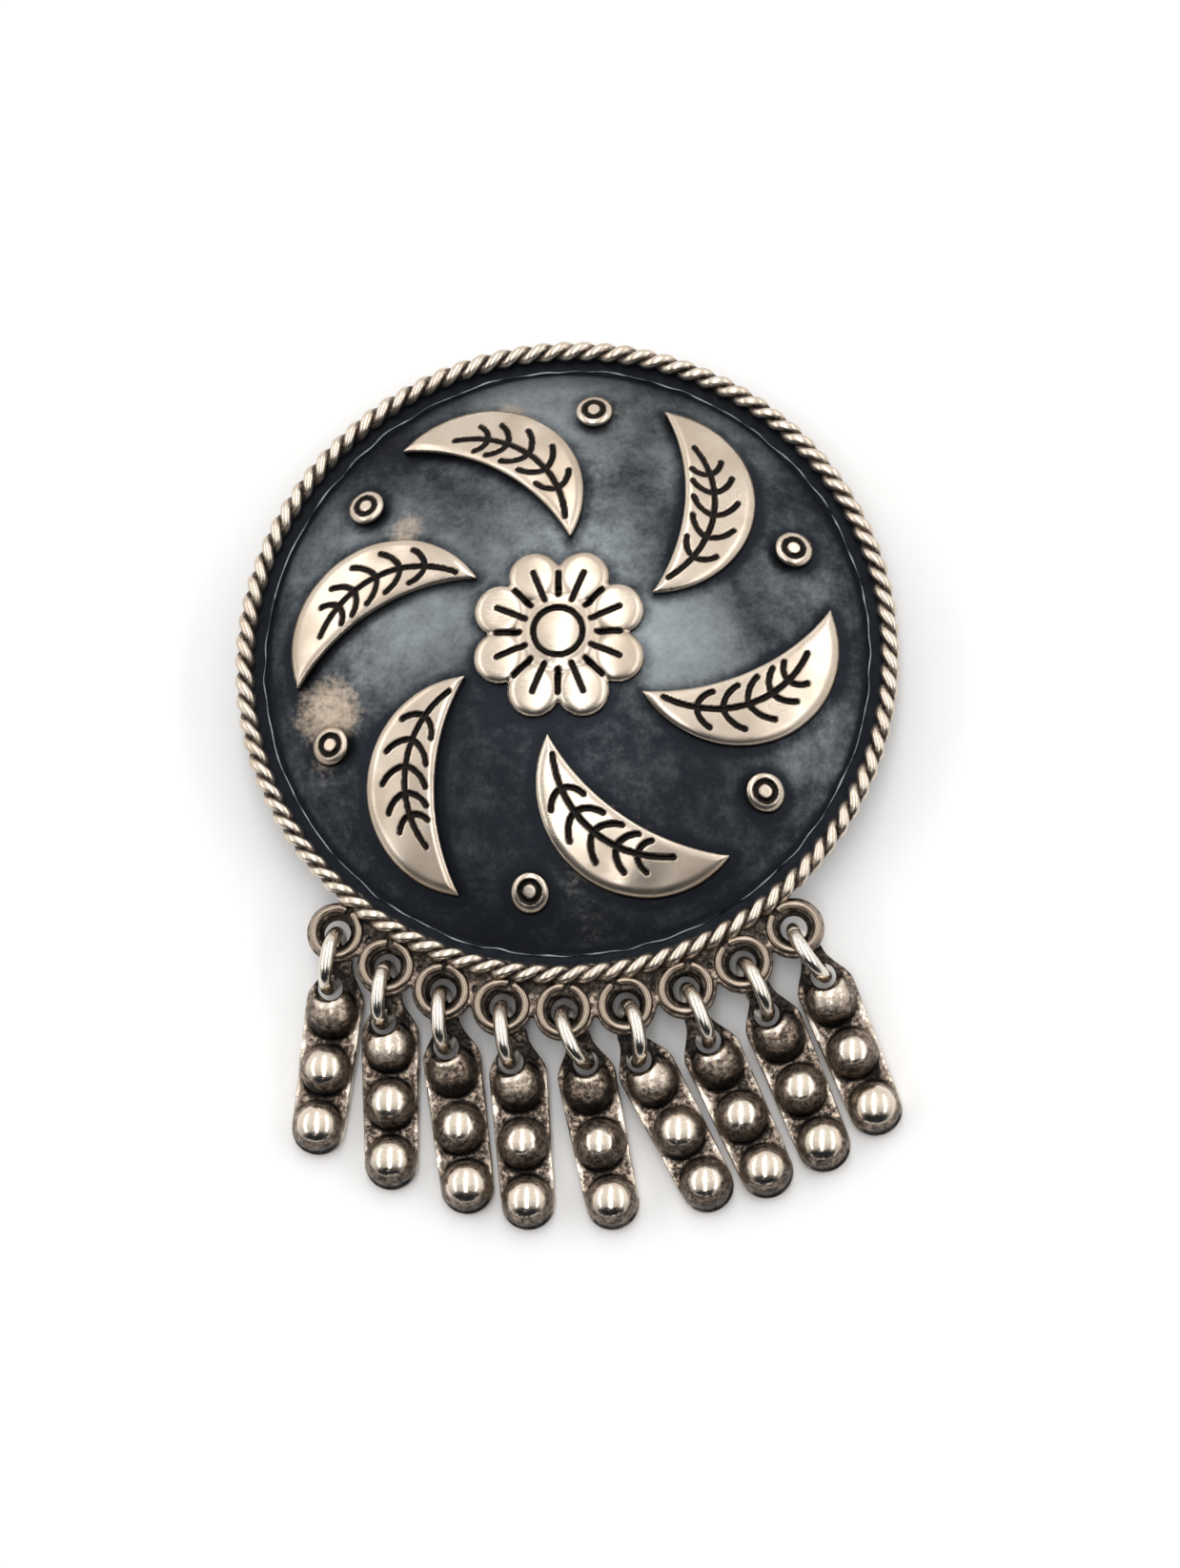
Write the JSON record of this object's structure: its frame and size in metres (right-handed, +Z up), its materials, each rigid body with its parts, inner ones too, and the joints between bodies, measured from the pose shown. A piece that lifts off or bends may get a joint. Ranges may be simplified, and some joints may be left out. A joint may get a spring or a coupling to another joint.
{
  "type": "silver pin brooch",
  "caption": "Round domed silver pin brooch with a rope border, a raised leaf rosette and a fringe of beaded drops hung on jump rings, with a bar pin on its back.",
  "frame": {"origin": "on the surface that the brooch rests on, under the middle of the whole brooch's box", "axes": "+Z up out of the domed front, +Y towards the brooch's top edge, the drops towards -Y"},
  "size_m": [0.056, 0.0756, 0.0118],
  "materials": {
    "oxidised_silver": "silver darkened blue-black by oxidation on the dome, polished bright on what is raised",
    "worn_silver": "warm worn silver with brown and black patina in the hollows",
    "plain_silver": "plain satin silver with light tarnish"
  },
  "bodies": {
    "root": {"disc": "oxidised_silver", "pin_back": "plain_silver", "jump_ring_1": "worn_silver", "jump_ring_2": "worn_silver", "jump_ring_3": "worn_silver", "jump_ring_4": "worn_silver", "jump_ring_5": "worn_silver", "jump_ring_6": "worn_silver", "jump_ring_7": "worn_silver", "jump_ring_8": "worn_silver", "jump_ring_9": "worn_silver", "drop_1": "worn_silver", "drop_2": "worn_silver", "drop_3": "worn_silver", "drop_4": "worn_silver", "drop_5": "worn_silver", "drop_6": "worn_silver", "drop_7": "worn_silver", "drop_8": "worn_silver", "drop_9": "worn_silver"}
  },
  "joints": []
}
